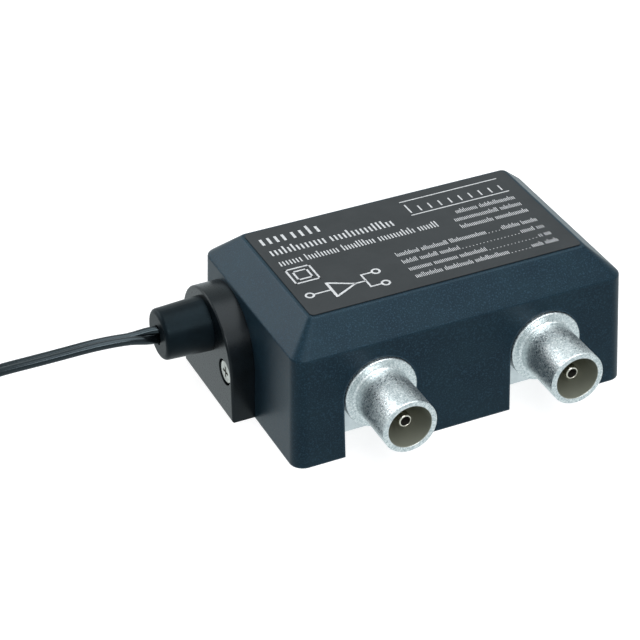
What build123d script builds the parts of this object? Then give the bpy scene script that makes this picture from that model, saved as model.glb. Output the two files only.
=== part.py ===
from build123d import *
import os
from math import atan2, ceil, copysign, cos, pi, radians, sin, sqrt, tan

# Two-way aerial amplifier with a captive mains cord, modelled in millimetres.
# +X runs along the long front side with the two output sockets, +Y goes to the
# back and +Z is up. The cover's rim stands on z = 0. Everything is drawn about the
# cover's middle, and moved at the end to put the origin under the middle of the
# box that holds all but the cord.

os.makedirs("parts", exist_ok=True)

# Cover: an open-bottomed moulded shell with leaning walls, a bevel and a flat top
rim_length = 77.0
rim_width = 49.4
rim_corner_radius = 3.0
wall = 1.8
wall_lean = 0.8
shoulder_height = 25.5
cover_height = 31.2
end_bevel_run = 6.0
side_bevel_run = 6.1
top_corner_radius = 1.2
shoulder_round = 0.5
top_round = 0.35
overrun = 2.0

# Label on the flat top
label_thickness = 0.2
label_margin = 0.3
label_corner_radius = 1.0

# Chassis frame that carries the sockets, inside the cover
frame_foot = 4.3
frame_height = 18.0
frame_wall = 1.4
frame_gap = 0.2
frame_corner_radius = 1.6
ledge_depth = 1.0
ledge_thickness = 1.0

# Base lid inside the frame's foot, with its screws
lid_inset = 0.3
lid_thickness = 1.4
lid_gap = 0.15
post_radius = 2.5
post_gap = 0.4
screw_radius = 1.1
screw_head_radius = 2.3
screw_head_depth = 0.9
screw_length = 8.0
screw_gap = 0.15
thread_radius = 0.95
recess_width = 0.6
recess_depth = 0.5

# Output sockets: 9.5 mm female coaxial, axis along Y
socket_pitch = 38.2
socket_height = 13.7
flange_radius = 8.05
flange_depth = 2.9
tube_radius = 6.0
tube_length = 12.9
tube_root_round = 0.6
mouth_round = 0.25
flange_round = 0.35
bore_radius = 4.75
bore_depth = 9.5
notch_gap = 0.1
neck_radius = 5.2
neck_end = 1.0
insulator_radius = 4.0
fit = 0.05
contact_radius = 1.45
contact_bore_radius = 1.0
contact_bore_depth = 6.0
contact_recess = 2.2
contact_lead_in = 0.1
contact_tip_round = 0.3
stem_radius = 0.5
tail_length = 3.0
nut_across_flats = 12.6
nut_depth = 2.0

# Input plug: 9.5 mm male coaxial, on the back wall
plug_shell_radius = 4.75
plug_shell_wall = 0.6
plug_shell_length = 9.0
plug_pin_radius = 1.15
plug_pin_recess = 0.8
plug_pin_tip = 0.5

# Circuit board, resting under the sockets' tails
board_thickness = 1.6
board_gap = 0.3
standoff_radius = 2.2
standoff_place_share = (0.86, 0.47)
board_screw_length = 5.0
lead_radius = 0.3
leg_share = 0.85
axial_lift = 0.6
axial_lead = 1.3

# Mains transformer on the board
transformer_place_share = (-0.40, 0.32)
core_length = 24.0
core_height = 14.4
core_stack = 8.0
core_leg = 6.4
core_rim = 3.0
bobbin_wall = 0.6
bobbin_gap = 0.15
bobbin_foot = 1.6
winding_round = 0.8

# Insulating barrier
barrier_gap = 0.5
barrier_thickness = 0.8
barrier_height = 9.0

# Diodes, resistors and fuse lying on the board
diode_radius = 1.3
diode_length = 4.6
diode_places_share = ((0.15, 0.66), (0.15, 0.86), (0.38, 0.66), (0.38, 0.86))
resistor_radius = 0.9
resistor_length = 3.4
resistor_places_share = ((-0.70, -0.72), (-0.70, -0.56), (0.36, -0.88), (0.76, -0.74), (0.76, 0.74))
fuse_place_share = (-0.886, 0.02)

# Upright parts on the board
smoothing_radius = 4.0
smoothing_height = 11.5
smoothing_place_share = (-0.06, -0.64)
regulator_radius = 2.3
regulator_height = 4.7
regulator_place_share = (0.14, -0.84)
ceramic_radius = 1.6
ceramic_height = 2.4
ceramic_places_share = ((-0.55, -0.50), (0.50, -0.66), (0.84, 0.10), (0.84, -0.10))

# Splitter ring
splitter_ring_radius = 2.9
splitter_core_radius = 1.2
splitter_band_radius = 1.5
splitter_band_turn = 250.0
splitter_place_share = (-0.36, -0.62)

# Screening can and the parts under it
screen_length = 19.0
screen_width = 17.0
screen_height = 7.0
screen_wall = 0.4
screen_hole_radius = 0.9
screen_holes = 5
screen_place_share = (0.47, 0.0)
chip_length = 5.0
chip_width = 4.0
chip_height = 1.6
small_length = 2.0
small_width = 1.25
small_height = 0.9

# Inner leads
lead_landing = 1.7
lead_pitch = 2.4
lead_shift = 1.2
lead_start_gap = 0.5
lead_bend = 1.6
lead_wire_radius = 0.8

# Cable entry block: a round-topped block on the left wall
block_depth = 5.0
block_half_width = 13.3
block_top = 24.6
block_centre_y = 9.5
block_round = 0.45
block_screw_offset = 9.8
block_screw_height = 10.9
block_recess_radius = 2.95
block_recess_depth = 1.5
block_screw_head_radius = 2.65
block_screw_head_depth = 1.3
block_screw_reach = 9.6

# Strain relief bush, moulded on the cord
bush_y = 10.2
bush_z = 16.9
bush_length = 10.5
bush_root_radius = 6.02
bush_end_radius = 5.55
bush_end_round = 1.0
bush_neck_radius = 3.6
bush_collar_radius = 5.2
bush_collar_depth = 1.4
bush_mouth_depth = 2.0
bush_mouth_gap = 0.35

# Twin flex: two cores side by side with a thin web
core_radius = 1.0
core_spacing = 2.0
web_thickness = 0.9

# Share of the shorter run that a corner's arc may take
run_share = 0.45

# Route of the cord from the bush down to the coil, and from the coil to the plug
cord_lift_route = (
    (-66.0, 10.9, 18.0),
    (-77.0, 12.8, 16.8),
    (-90.0, 15.8, 14.8),
    (-103.0, 18.6, 10.5),
    (-115.0, 20.4, 5.6),
    (-125.0, 21.0, 3.2),
)
cord_straight = 5.0
plug_entry_x = -164.0
plug_centre_y = 18.0
plug_lead_run = 7.0

# Neat coil that takes up the cord's spare length
coil_centre_x = -136.0
coil_centre_y = -8.0
coil_outer_radius = 29.0
coil_pitch = 3.0
coil_dip = 1.6
coil_turns_down = 3.25
coil_layer_gap = 0.8
gap_steps = 48
tie_thickness = 0.8
tie_width = 3.0
tie_gap = 0.4
tie_tail_radius = 0.8
tie_tail_length = 6.0

# Flat two-pin mains plug
plug_width = 35.3
plug_nose_width = 26.0
plug_thickness = 13.7
plug_length = 30.0
plug_shoulder_length = 9.0
plug_nose_length = 11.0
plug_grip_width = 15.0
plug_grip_thickness = 9.5
plug_edge_round = 1.6
plug_tail_length = 8.0
plug_tail_width = 8.0
plug_tail_end_width = 6.4
plug_tail_round = 1.4
pin_radius = 2.0
pin_length = 19.0
pin_spacing = 18.6
pin_sleeve_length = 10.0
pin_sleeve_radius = 1.75
pin_sleeve_wall = 0.5
pin_seat = 6.0

# Derived heights and half sizes
rim_half_x = rim_length / 2
rim_half_y = rim_width / 2
shoulder_half_x = rim_half_x - wall_lean
shoulder_half_y = rim_half_y - wall_lean
top_half_x = shoulder_half_x - end_bevel_run
top_half_y = shoulder_half_y - side_bevel_run
bevel_rise = cover_height - shoulder_height
frame_top = frame_foot + frame_height
lid_bottom = frame_foot + lid_inset
lid_top = lid_bottom + lid_thickness
board_top = socket_height - stem_radius
board_bottom = board_top - board_thickness
socket_x = socket_pitch / 2
mouth_reach = flange_depth + tube_length
neck_length = frame_wall + nut_depth + neck_end
insulator_front = mouth_reach - bore_depth
cord_width = core_spacing + 2 * core_radius


def lean_at(height):
    """How far the walls have leaned in at a height above the rim."""
    return wall_lean * height / shoulder_height


frame_half_x = rim_half_x - lean_at(frame_top) - wall - frame_gap
frame_half_y = rim_half_y - lean_at(frame_top) - wall - frame_gap
frame_inner_x = frame_half_x - frame_wall
frame_inner_y = frame_half_y - frame_wall
post_x = frame_inner_x - ledge_depth - post_gap - post_radius
post_y = frame_inner_y - ledge_depth - post_gap - post_radius
board_half_x = frame_inner_x - ledge_depth - board_gap
board_half_y = frame_half_y - neck_length - board_gap
block_face_x = -rim_half_x - block_depth

parts = []


def keep(part, label):
    """Name a finished piece and remember it for writing."""
    part.label = label
    parts.append(part)


# Cover

def shell_body(inset):
    """The cover's outer body, or its cavity when inset by the wall."""
    bevel_turn = atan2(side_bevel_run, bevel_rise)
    drop = inset * tan(bevel_turn / 2)
    draw_in = inset * tan((pi / 2 - bevel_turn) / 2)
    knee = shoulder_height - drop
    lid = cover_height - inset
    rim_radius = max(rim_corner_radius - inset, top_corner_radius / 2)
    start = -overrun if inset else 0
    with BuildPart() as body:
        with BuildSketch(Plane.XY.offset(start)):
            RectangleRounded(
                2 * (rim_half_x - lean_at(start) - inset),
                2 * (rim_half_y - lean_at(start) - inset),
                rim_radius,
            )
        with BuildSketch(Plane.XY.offset(knee)):
            RectangleRounded(
                2 * (rim_half_x - lean_at(knee) - inset),
                2 * (rim_half_y - lean_at(knee) - inset),
                rim_radius,
            )
        loft(ruled=True)
        with BuildSketch(Plane.XY.offset(knee)):
            RectangleRounded(
                2 * (rim_half_x - lean_at(knee) - inset),
                2 * (rim_half_y - lean_at(knee) - inset),
                rim_radius,
            )
        with BuildSketch(Plane.XY.offset(lid)):
            RectangleRounded(
                2 * (top_half_x - draw_in), 2 * (top_half_y - draw_in), top_corner_radius
            )
        loft(ruled=True)
    return body


def notch_sketch(x):
    """U-shaped opening around a socket's flange, open at the rim."""
    radius = flange_radius + notch_gap
    with BuildSketch(Plane.XZ) as notch:
        with Locations((x, socket_height)):
            Circle(radius)
        with Locations((x, socket_height)):
            Rectangle(2 * radius, socket_height + overrun, align=(Align.CENTER, Align.MAX))
    return notch.sketch


# posts that take the lid's screws, ending inside the shell's wall
with BuildPart() as posts:
    with BuildSketch(Plane.XY.offset(lid_top)):
        with GridLocations(2 * post_x, 2 * post_y, 2, 2):
            Circle(post_radius)
    extrude(amount=cover_height - lid_top)
    add(shell_body(wall / 2).part, mode=Mode.INTERSECT)

with BuildPart() as cover:
    add(shell_body(0).part)
    shoulder_edges = cover.edges().group_by(Axis.Z)[-1]
    fillet(shoulder_edges, radius=top_round)
    knee_edges = cover.edges().filter_by_position(
        Axis.Z, shoulder_height - fit, shoulder_height + fit
    )
    fillet(knee_edges, radius=shoulder_round)
    add(shell_body(wall).part, mode=Mode.SUBTRACT)
    add(posts.part)
    with BuildSketch(Plane.XY.offset(lid_top)):
        with GridLocations(2 * post_x, 2 * post_y, 2, 2):
            Circle(thread_radius)
    extrude(amount=screw_length + overrun, mode=Mode.SUBTRACT)
    # openings for the sockets, cut from outside only as deep as the frame
    for x in (-socket_x, socket_x):
        extrude(
            notch_sketch(x).moved(Location((0, -frame_half_y, 0))),
            amount=wall + wall_lean + overrun,
            mode=Mode.SUBTRACT,
        )
    extrude(
        notch_sketch(socket_x).moved(Location((0, frame_half_y, 0))),
        amount=-(wall + wall_lean + overrun),
        mode=Mode.SUBTRACT,
    )
    # holes through the left wall for the bush and its screws
    with BuildSketch(Plane.YZ.offset(-rim_half_x - overrun)):
        with Locations((bush_y, bush_z)):
            Circle(bush_neck_radius + fit)
        with Locations(
            (block_centre_y - block_screw_offset, block_screw_height),
            (block_centre_y + block_screw_offset, block_screw_height),
        ):
            Circle(screw_radius + screw_gap)
    extrude(amount=2 * overrun + wall + wall_lean, mode=Mode.SUBTRACT)
keep(cover.part, "top_cover")

# Label foil

with BuildPart() as label:
    with BuildSketch(Plane.XY.offset(cover_height)):
        RectangleRounded(
            2 * (top_half_x - top_round - label_margin),
            2 * (top_half_y - top_round - label_margin),
            label_corner_radius,
        )
    extrude(amount=label_thickness)
keep(label.part, "top_label")


# Chassis frame

def front_plane(x):
    """Plane on the frame's front face: X radial, Y outward along the socket."""
    return Plane(origin=(x, -frame_half_y, socket_height), x_dir=(1, 0, 0), z_dir=(0, 0, -1))


def back_plane(x):
    """Plane on the frame's back face: X radial, Y outward along the plug."""
    return Plane(origin=(x, frame_half_y, socket_height), x_dir=(1, 0, 0), z_dir=(0, 0, 1))


with BuildPart() as frame:
    with BuildSketch(Plane.XY.offset(frame_foot)):
        RectangleRounded(2 * frame_half_x, 2 * frame_half_y, frame_corner_radius)
        RectangleRounded(
            2 * frame_inner_x, 2 * frame_inner_y, frame_corner_radius / 2, mode=Mode.SUBTRACT
        )
    extrude(amount=frame_height)
    with BuildSketch(Plane.XY.offset(lid_top)):
        Rectangle(2 * frame_inner_x, 2 * frame_inner_y)
        Rectangle(
            2 * (frame_inner_x - ledge_depth),
            2 * (frame_inner_y - ledge_depth),
            mode=Mode.SUBTRACT,
        )
    extrude(amount=ledge_thickness)
    with BuildSketch(Plane.XZ.offset(-frame_half_y - overrun)):
        with Locations((socket_x, socket_height)):
            Circle(neck_radius + fit)
    extrude(amount=frame_wall + 2 * overrun, mode=Mode.SUBTRACT)
    with BuildSketch(Plane.XZ.offset(frame_half_y + overrun)):
        with Locations((-socket_x, socket_height), (socket_x, socket_height)):
            Circle(neck_radius + fit)
    extrude(amount=-(frame_wall + 2 * overrun), mode=Mode.SUBTRACT)
    # clearance for the bush's collar, open at the top of the left wall
    with BuildSketch(Plane.YZ.offset(-frame_half_x - overrun)):
        with Locations((bush_y, bush_z)):
            Circle(bush_collar_radius + frame_gap)
        with Locations((bush_y, bush_z)):
            Rectangle(
                2 * (bush_collar_radius + frame_gap),
                frame_height,
                align=(Align.CENTER, Align.MIN),
            )
        with Locations(
            (block_centre_y - block_screw_offset, block_screw_height),
            (block_centre_y + block_screw_offset, block_screw_height),
        ):
            Circle(thread_radius)
    extrude(amount=frame_wall + overrun + frame_gap, mode=Mode.SUBTRACT)
keep(frame.part, "chassis_frame")

# Base lid with the board's standoffs

standoff_x = board_half_x * standoff_place_share[0]
standoff_y = board_half_y * standoff_place_share[1]
with BuildPart() as lid:
    with BuildSketch(Plane.XY.offset(lid_bottom)):
        RectangleRounded(
            2 * (frame_inner_x - lid_gap),
            2 * (frame_inner_y - lid_gap),
            frame_corner_radius / 2,
        )
    extrude(amount=lid_thickness)
    with BuildSketch(Plane.XY.offset(lid_top)):
        with GridLocations(2 * standoff_x, 2 * standoff_y, 2, 2):
            Circle(standoff_radius)
    extrude(amount=board_bottom - lid_top)
    with BuildSketch(Plane.XY.offset(board_bottom)):
        with GridLocations(2 * standoff_x, 2 * standoff_y, 2, 2):
            Circle(thread_radius)
    extrude(amount=-(board_bottom - lid_top), mode=Mode.SUBTRACT)
    with BuildSketch(Plane.XY.offset(lid_bottom)):
        with GridLocations(2 * post_x, 2 * post_y, 2, 2):
            Circle(screw_radius + screw_gap)
    extrude(amount=lid_thickness, mode=Mode.SUBTRACT)
    with BuildSketch(Plane.XY.offset(lid_bottom)):
        with GridLocations(2 * post_x, 2 * post_y, 2, 2):
            Circle(screw_head_radius + screw_gap)
    extrude(amount=screw_head_depth, mode=Mode.SUBTRACT)
keep(lid.part, "base_lid")


def screw(plane, head_radius, head_depth, length):
    """A pan-head screw with a cross recess, its head's underside on the plane."""
    with BuildPart() as body:
        with BuildSketch(plane):
            Circle(head_radius)
        extrude(amount=-head_depth)
        fillet(body.edges().sort_by(Axis(plane.origin, plane.z_dir))[0], radius=head_depth / 3)
        with BuildSketch(plane):
            Circle(thread_radius - fit)
        extrude(amount=length)
        with BuildSketch(plane.offset(-head_depth)):
            Rectangle(head_radius, recess_width)
            Rectangle(recess_width, head_radius)
        extrude(amount=recess_depth, mode=Mode.SUBTRACT)
    return body.part


def gather(pieces, label):
    """Several identical loose pieces kept as one node."""
    keep(Compound(children=pieces), label)


gather(
    [
        screw(
            Plane((x, y, lid_bottom + screw_head_depth)),
            screw_head_radius,
            screw_head_depth,
            screw_length,
        )
        for x in (-post_x, post_x)
        for y in (-post_y, post_y)
    ],
    "case_screws",
)

# Output sockets, insulators and spring contacts


def ring_about(plane, outline, rounds):
    """Turn an outline of (radius, outward) points about the plane's Y axis."""
    with BuildPart() as turned:
        with BuildSketch(plane) as section:
            with BuildLine():
                Polyline(*outline, close=True)
            make_face()
            for (radius, outward), size in rounds:
                corner = section.vertices().sort_by_distance(Vector(radius, outward))[0]
                fillet(corner, radius=size)
        revolve(axis=Axis(plane.origin, plane.y_dir))
    return turned.part


def socket_shell(plane):
    """Flanged die-cast tube with a threaded neck behind the flange."""
    outline = [
        (insulator_radius, -neck_length),
        (neck_radius, -neck_length),
        (neck_radius, 0),
        (flange_radius, 0),
        (flange_radius, flange_depth),
        (tube_radius, flange_depth),
        (tube_radius, mouth_reach),
        (bore_radius, mouth_reach),
        (bore_radius, insulator_front),
        (insulator_radius, insulator_front),
    ]
    rounds = [
        ((tube_radius, flange_depth), tube_root_round),
        ((flange_radius, flange_depth), flange_round),
        ((tube_radius, mouth_reach), mouth_round),
        ((bore_radius, mouth_reach), mouth_round),
    ]
    return ring_about(plane, outline, rounds)


def insulator(plane, front):
    """Plastic plug inside the neck that centres the contact."""
    outline = [
        (stem_radius + fit, -neck_length),
        (insulator_radius - fit, -neck_length),
        (insulator_radius - fit, front),
        (stem_radius + fit, front),
    ]
    return ring_about(plane, outline, [])


def spring_contact(plane):
    """Tubular centre contact with its stem and solder tail."""
    tip = mouth_reach - contact_recess
    floor = tip - contact_bore_depth
    outline = [
        (0, -neck_length - tail_length),
        (stem_radius, -neck_length - tail_length),
        (stem_radius, insulator_front),
        (contact_radius, insulator_front),
        (contact_radius, tip),
        (contact_bore_radius + contact_lead_in, tip),
        (contact_bore_radius, tip - contact_lead_in),
        (contact_bore_radius, floor),
        (0, floor),
    ]
    return ring_about(plane, outline, [((contact_radius, tip), contact_tip_round)])


for name, x in (("left", -socket_x), ("right", socket_x)):
    keep(socket_shell(front_plane(x)), f"output_socket_{name}")
    keep(insulator(front_plane(x), insulator_front), f"output_insulator_{name}")
    keep(spring_contact(front_plane(x)), f"output_contact_{name}")

# Input plug on the back wall

plug_reach = flange_depth + plug_shell_length
plug_bore = plug_shell_radius - plug_shell_wall
keep(
    ring_about(
        back_plane(socket_x),
        [
            (insulator_radius, -neck_length),
            (neck_radius, -neck_length),
            (neck_radius, 0),
            (flange_radius, 0),
            (flange_radius, flange_depth),
            (plug_shell_radius, flange_depth),
            (plug_shell_radius, plug_reach),
            (plug_bore, plug_reach),
            (plug_bore, flange_depth),
            (insulator_radius, flange_depth),
        ],
        [
            ((flange_radius, flange_depth), flange_round),
            ((plug_shell_radius, plug_reach), mouth_round),
        ],
    ),
    "input_plug",
)
keep(insulator(back_plane(socket_x), flange_depth), "input_insulator")
keep(
    ring_about(
        back_plane(socket_x),
        [
            (0, -neck_length - tail_length),
            (stem_radius, -neck_length - tail_length),
            (stem_radius, flange_depth),
            (plug_pin_radius, flange_depth),
            (plug_pin_radius, plug_reach - plug_pin_recess - plug_pin_tip),
            (plug_pin_radius - plug_pin_tip, plug_reach - plug_pin_recess),
            (0, plug_reach - plug_pin_recess),
        ],
        [],
    ),
    "input_pin",
)


def nut(plane):
    """Thin hexagon nut behind the frame's wall, holding a neck."""
    seat = Plane(plane.origin - plane.y_dir * frame_wall, x_dir=plane.x_dir, z_dir=-plane.y_dir)
    with BuildPart() as body:
        with BuildSketch(seat):
            RegularPolygon(nut_across_flats / 2, 6, major_radius=False)
            Circle(neck_radius + fit, mode=Mode.SUBTRACT)
        extrude(amount=nut_depth)
    return body.part


gather(
    [nut(front_plane(-socket_x)), nut(front_plane(socket_x)), nut(back_plane(socket_x))],
    "neck_nuts",
)

# Cable entry block on the left wall

with BuildPart() as block:
    with BuildSketch(Plane.YZ.offset(block_face_x)):
        with Locations((block_centre_y, block_top - block_half_width)):
            Circle(block_half_width)
            Rectangle(
                2 * block_half_width,
                block_top - block_half_width,
                align=(Align.CENTER, Align.MAX),
            )
        with Locations((block_centre_y, 0)):
            Rectangle(
                2 * block_half_width,
                block_half_width,
                align=(Align.CENTER, Align.MAX),
                mode=Mode.SUBTRACT,
            )
    extrude(amount=block_depth + wall_lean + wall / 2)
    face_edges = block.faces().sort_by(Axis.X)[0].edges()
    fillet(face_edges, radius=block_round)
    add(shell_body(0).part, mode=Mode.SUBTRACT)
    with BuildSketch(Plane.YZ.offset(block_face_x)):
        with Locations((bush_y, bush_z)):
            Circle(bush_neck_radius + fit)
        with Locations(
            (block_centre_y - block_screw_offset, block_screw_height),
            (block_centre_y + block_screw_offset, block_screw_height),
        ):
            Circle(screw_radius + screw_gap)
    extrude(amount=block_depth + wall_lean + wall, mode=Mode.SUBTRACT)
    with BuildSketch(Plane.YZ.offset(block_face_x)):
        with Locations(
            (block_centre_y - block_screw_offset, block_screw_height),
            (block_centre_y + block_screw_offset, block_screw_height),
        ):
            Circle(block_recess_radius)
    extrude(amount=block_recess_depth, mode=Mode.SUBTRACT)
keep(block.part, "cable_entry_block")

gather(
    [
        screw(
            Plane(
                (block_face_x + block_recess_depth, block_centre_y + side, block_screw_height),
                x_dir=(0, 1, 0),
                z_dir=(1, 0, 0),
            ),
            block_screw_head_radius,
            block_screw_head_depth,
            block_screw_reach - block_recess_depth,
        )
        for side in (-block_screw_offset, block_screw_offset)
    ],
    "entry_screws",
)

# Strain relief bush


def flex_section(grow):
    """Figure-eight outline of the twin flex, its width upright."""
    with BuildSketch(Plane.XY) as outline:
        with Locations((0, core_spacing / 2), (0, -core_spacing / 2)):
            Circle(core_radius + grow)
        Rectangle(web_thickness + 2 * grow, core_spacing)
    return outline.sketch


bush_wall_x = -rim_half_x + lean_at(bush_z + bush_collar_radius) + wall + fit
bush_sleeve = bush_wall_x - block_face_x
bush_end_x = block_face_x - bush_length
with BuildPart() as bush:
    add(
        ring_about(
            Plane((block_face_x, bush_y, bush_z), x_dir=(0, 0, 1), z_dir=(0, -1, 0)),
            [
                (0, -bush_sleeve - bush_collar_depth),
                (bush_collar_radius, -bush_sleeve - bush_collar_depth),
                (bush_collar_radius, -bush_sleeve),
                (bush_neck_radius, -bush_sleeve),
                (bush_neck_radius, 0),
                (bush_root_radius, 0),
                (bush_end_radius, bush_length),
                (0, bush_length),
            ],
            [((bush_end_radius, bush_length), bush_end_round)],
        )
    )
    with BuildSketch(Plane((bush_end_x, bush_y, bush_z), x_dir=(0, 1, 0), z_dir=(1, 0, 0))):
        SlotOverall(
            cord_width + 2 * bush_mouth_gap, 2 * (core_radius + bush_mouth_gap), rotation=90
        )
    extrude(amount=bush_mouth_depth, mode=Mode.SUBTRACT)
keep(bush.part, "strain_relief")

# Circuit board


def on_board(share):
    """A place on the board from its shares of the half length and half width."""
    return share[0] * board_half_x, share[1] * board_half_y


with BuildPart() as board:
    with BuildSketch(Plane.XY.offset(board_bottom)):
        Rectangle(2 * board_half_x, 2 * board_half_y)
        with GridLocations(2 * post_x, 2 * post_y, 2, 2):
            Circle(post_radius + post_gap, mode=Mode.SUBTRACT)
        with GridLocations(2 * standoff_x, 2 * standoff_y, 2, 2):
            Circle(screw_radius, mode=Mode.SUBTRACT)
    extrude(amount=board_thickness)
keep(board.part, "circuit_board")

gather(
    [
        screw(
            Plane((x, y, board_top), x_dir=(1, 0, 0), z_dir=(0, 0, -1)),
            screw_head_radius,
            screw_head_depth,
            board_screw_length,
        )
        for x in (-standoff_x, standoff_x)
        for y in (-standoff_y, standoff_y)
    ],
    "board_screws",
)

# Mains transformer: laminated core, bobbin and winding

transformer_x, transformer_y = on_board(transformer_place_share)
leg_half = core_leg / 2
window_width = (core_length - core_leg - 2 * core_rim) / 2
window_foot = board_top + core_rim
window_height = core_height - 2 * core_rim
with BuildPart() as core:
    with BuildSketch(Plane.XZ.offset(-transformer_y - core_stack / 2)):
        with Locations((transformer_x, board_top + core_height / 2)):
            Rectangle(core_length, core_height)
            with GridLocations(core_leg + window_width, window_height, 2, 1):
                Rectangle(window_width, window_height, mode=Mode.SUBTRACT)
    extrude(amount=core_stack)
keep(core.part, "transformer_core")

bobbin_half_x = leg_half + window_width - bobbin_gap
bobbin_half_y = core_stack / 2 + window_width - bobbin_gap
with BuildPart() as bobbin:
    with BuildSketch(Plane.XY.offset(window_foot)):
        with Locations((transformer_x, transformer_y)):
            Rectangle(
                core_leg + 2 * bobbin_gap + 2 * bobbin_wall,
                core_stack + 2 * bobbin_gap + 2 * bobbin_wall,
            )
    extrude(amount=window_height)
    for foot in (window_foot, window_foot + window_height - bobbin_wall):
        with BuildSketch(Plane.XY.offset(foot)):
            with Locations((transformer_x, transformer_y)):
                Rectangle(2 * bobbin_half_x, 2 * bobbin_half_y)
        extrude(amount=bobbin_wall)
    with BuildSketch(Plane.XY.offset(window_foot)):
        with Locations((transformer_x, transformer_y)):
            Rectangle(core_leg + 2 * bobbin_gap, core_stack + 2 * bobbin_gap)
    extrude(amount=window_height, mode=Mode.SUBTRACT)
    # feet that stand on the board beside the core's stack
    with BuildSketch(Plane.XY.offset(board_top)):
        with Locations((transformer_x, transformer_y)):
            with GridLocations(0, 2 * bobbin_half_y - bobbin_foot, 1, 2):
                Rectangle(2 * bobbin_half_x, bobbin_foot)
    extrude(amount=core_rim)
keep(bobbin.part, "transformer_bobbin")

with BuildPart() as winding:
    with BuildSketch(Plane.XY.offset(window_foot + bobbin_wall)):
        with Locations((transformer_x, transformer_y)):
            RectangleRounded(
                2 * (bobbin_half_x - bobbin_wall), 2 * (bobbin_half_y - bobbin_wall), winding_round
            )
            Rectangle(
                core_leg + 2 * bobbin_gap + 2 * bobbin_wall,
                core_stack + 2 * bobbin_gap + 2 * bobbin_wall,
                mode=Mode.SUBTRACT,
            )
    extrude(amount=window_height - 2 * bobbin_wall)
keep(winding.part, "transformer_winding")

# Insulating barrier between the mains side and the signal side

barrier_x = transformer_x + core_length / 2 + barrier_gap
barrier_y = transformer_y - bobbin_half_y - barrier_gap - barrier_thickness
with BuildPart() as barrier:
    with BuildSketch(Plane.XY.offset(board_top)):
        with Locations((barrier_x, barrier_y)):
            Rectangle(
                barrier_x + board_half_x - barrier_gap,
                barrier_thickness,
                align=(Align.MAX, Align.MIN),
            )
            Rectangle(barrier_thickness, board_half_y - barrier_y - barrier_gap, align=Align.MIN)
    extrude(amount=barrier_height)
keep(barrier.part, "mains_barrier")


def axial(place, radius, length):
    """A body with a wire at each end bent down to the board."""
    x, y = on_board(place)
    height = board_top + radius + axial_lift
    with BuildPart() as body:
        with BuildSketch(Plane.YZ.offset(x - length / 2)):
            with Locations((y, height)):
                Circle(radius)
        extrude(amount=length)
        with BuildSketch(Plane.YZ.offset(x - length / 2 - axial_lead)):
            with Locations((y, height)):
                Circle(lead_radius)
        extrude(amount=length + 2 * axial_lead)
        with BuildSketch(Plane.XY.offset(board_top)):
            with Locations((x, y)):
                with GridLocations(length + 2 * axial_lead - 3 * lead_radius, 0, 2, 1):
                    Circle(lead_radius * leg_share)
        extrude(amount=height - board_top)
    return body.part


gather(
    [axial(place, diode_radius, diode_length) for place in diode_places_share],
    "rectifier_diodes",
)
gather(
    [axial(place, resistor_radius, resistor_length) for place in resistor_places_share],
    "resistors",
)
keep(axial(fuse_place_share, diode_radius, diode_length), "mains_fuse")


def upright(place, radius, height):
    """A cylinder standing on the board."""
    with BuildPart() as body:
        with BuildSketch(Plane.XY.offset(board_top)):
            with Locations(on_board(place)):
                Circle(radius)
        extrude(amount=height)
        fillet(body.edges().sort_by(Axis.Z)[-1], radius=lead_radius)
    return body.part


keep(upright(smoothing_place_share, smoothing_radius, smoothing_height), "smoothing_capacitor")

with BuildPart() as regulator:
    with BuildSketch(Plane.XY.offset(board_top + axial_lift)):
        with Locations(on_board(regulator_place_share)):
            Circle(regulator_radius)
            with Locations((0, regulator_radius / 2)):
                Rectangle(
                    2 * regulator_radius,
                    regulator_radius,
                    align=(Align.CENTER, Align.MIN),
                    mode=Mode.SUBTRACT,
                )
    extrude(amount=regulator_height)
    with BuildSketch(Plane.XY.offset(board_top)):
        with Locations(on_board(regulator_place_share)):
            with GridLocations(regulator_radius / 2, 0, 3, 1):
                Circle(lead_radius)
    extrude(amount=axial_lift)
keep(regulator.part, "voltage_regulator")

gather(
    [upright(place, ceramic_radius, ceramic_height) for place in ceramic_places_share],
    "trimmer_capacitors",
)

# Splitter: a ferrite ring with its winding band

splitter_x, splitter_y = on_board(splitter_place_share)
splitter_height = board_top + splitter_band_radius
splitter_plane = Plane((splitter_x, splitter_y, splitter_height), x_dir=(1, 0, 0), z_dir=(0, -1, 0))
with BuildPart() as splitter:
    with BuildSketch(splitter_plane):
        with Locations((splitter_ring_radius, 0)):
            Circle(splitter_core_radius)
    revolve(axis=Axis((splitter_x, splitter_y, splitter_height), (0, 0, 1)))
keep(splitter.part, "splitter_core")
with BuildPart() as band:
    with BuildSketch(splitter_plane):
        with Locations((splitter_ring_radius, 0)):
            Circle(splitter_band_radius)
            Circle(splitter_core_radius, mode=Mode.SUBTRACT)
    revolve(
        axis=Axis((splitter_x, splitter_y, splitter_height), (0, 0, 1)),
        revolution_arc=splitter_band_turn,
    )
keep(band.part, "splitter_winding")

# Screening can over the amplifier stage, with its chip and small parts

screen_x, screen_y = on_board(screen_place_share)
with BuildPart() as screen:
    with BuildSketch(Plane.XY.offset(board_top)):
        with Locations((screen_x, screen_y)):
            Rectangle(screen_length, screen_width)
    extrude(amount=screen_height)
    with BuildSketch(Plane.XY.offset(board_top)):
        with Locations((screen_x, screen_y)):
            Rectangle(screen_length - 2 * screen_wall, screen_width - 2 * screen_wall)
    extrude(amount=screen_height - screen_wall, mode=Mode.SUBTRACT)
    with BuildSketch(Plane.XY.offset(board_top + screen_height)):
        with Locations((screen_x, screen_y)):
            with GridLocations(
                screen_length / screen_holes,
                screen_width / screen_holes,
                screen_holes - 1,
                screen_holes - 1,
            ):
                Circle(screen_hole_radius)
    extrude(amount=-screen_wall, mode=Mode.SUBTRACT)
keep(screen.part, "amplifier_screen")

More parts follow.
